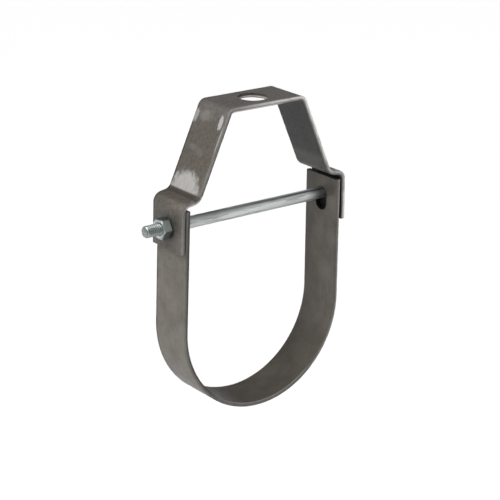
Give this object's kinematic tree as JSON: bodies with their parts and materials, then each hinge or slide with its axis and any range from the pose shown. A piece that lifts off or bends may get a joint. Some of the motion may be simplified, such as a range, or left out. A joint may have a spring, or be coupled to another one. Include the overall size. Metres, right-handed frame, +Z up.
{
  "type": "clevis pipe hanger",
  "caption": "Clevis hanger that carries one horizontal pipe: a bent yoke hung from a threaded rod, a U strap that swings under it, and a cross bolt with its nut.",
  "frame": {"origin": "centre of the rod hole on the top face of the yoke", "axes": "+Z up along the hanger rod, +X along the cross bolt towards its head, +Y along the pipe"},
  "size_m": [0.1576, 0.0318, 0.2098],
  "materials": {
    "strap_steel": "plain hot-rolled steel, dark mill scale with rubbed bright patches",
    "zinc_bolt": "bright zinc plate",
    "zinc_nut": "bright zinc plate, slightly duller on the flats"
  },
  "bodies": {
    "yoke_body": {"yoke": "strap_steel"},
    "bolt_body": {"cross_bolt": "zinc_bolt", "hex_nut": "zinc_nut"},
    "u_strap_body": {"u_strap": "strap_steel"}
  },
  "joints": [
    {"name": "bolt_turn", "type": "hinge", "parent": "yoke_body", "child": "bolt_body", "pos_m": [0, 0, -0.0753], "axis": [1, 0, 0], "continuous": true},
    {"name": "u_swing", "type": "hinge", "parent": "yoke_body", "child": "u_strap_body", "pos_m": [0, 0, -0.0753], "axis": [1, 0, 0], "range_deg": [-3.5, 3.5]}
  ]
}
